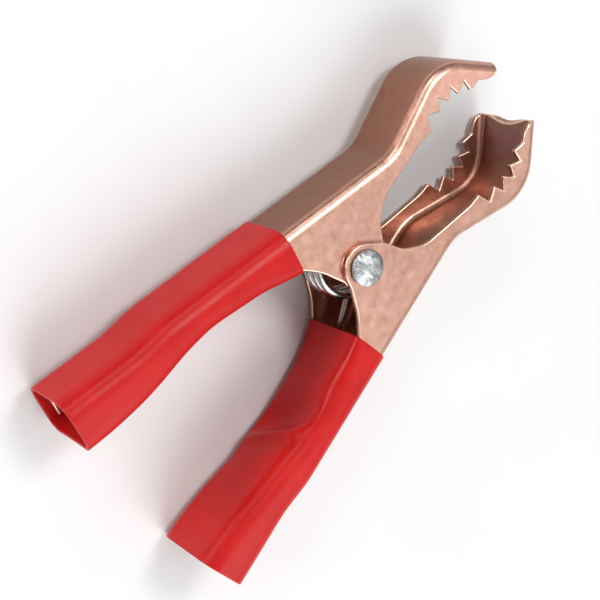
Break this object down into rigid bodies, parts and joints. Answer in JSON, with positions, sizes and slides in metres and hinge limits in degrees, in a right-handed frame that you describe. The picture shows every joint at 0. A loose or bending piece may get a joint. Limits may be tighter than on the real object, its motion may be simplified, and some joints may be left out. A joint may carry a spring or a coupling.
{
  "type": "alligator clip",
  "caption": "Spring clip with toothed copper-plated jaws that pivot on a rivet, and red insulating tubes over both handles; it grips a terminal at the end of a test lead.",
  "frame": {"origin": "where the pivot axis meets the surface that the clip lies on, at the flat end of the rivet's tail", "axes": "+Z along the pivot axis towards the rivet's domed head, +X along the clip's mid line from the handles to the jaws, +Y the way the upper jaw opens"},
  "size_m": [0.0747, 0.0374, 0.0141],
  "materials": {
    "copper_plate": "satin copper plating on formed steel sheet",
    "zinc_rivet": "bright zinc, scratched by the heading tool",
    "spring_steel": "bright drawn wire",
    "red_vinyl": "soft satin-gloss vinyl"
  },
  "bodies": {
    "lower_half": {"lower_arm": "copper_plate", "pivot_rivet": "zinc_rivet", "torsion_spring": "spring_steel", "lower_sleeve": "red_vinyl"},
    "upper_half": {"upper_arm": "copper_plate", "upper_sleeve": "red_vinyl"}
  },
  "joints": [
    {"name": "jaw_pivot", "type": "hinge", "parent": "lower_half", "child": "upper_half", "pos_m": [0, 0, 0.0068], "axis": [0, 0, 1], "range_deg": [-16, 28], "stiffness_Nm_per_rad": 0.4, "springref_deg": -57.3, "deforming": ["torsion_spring"]}
  ]
}
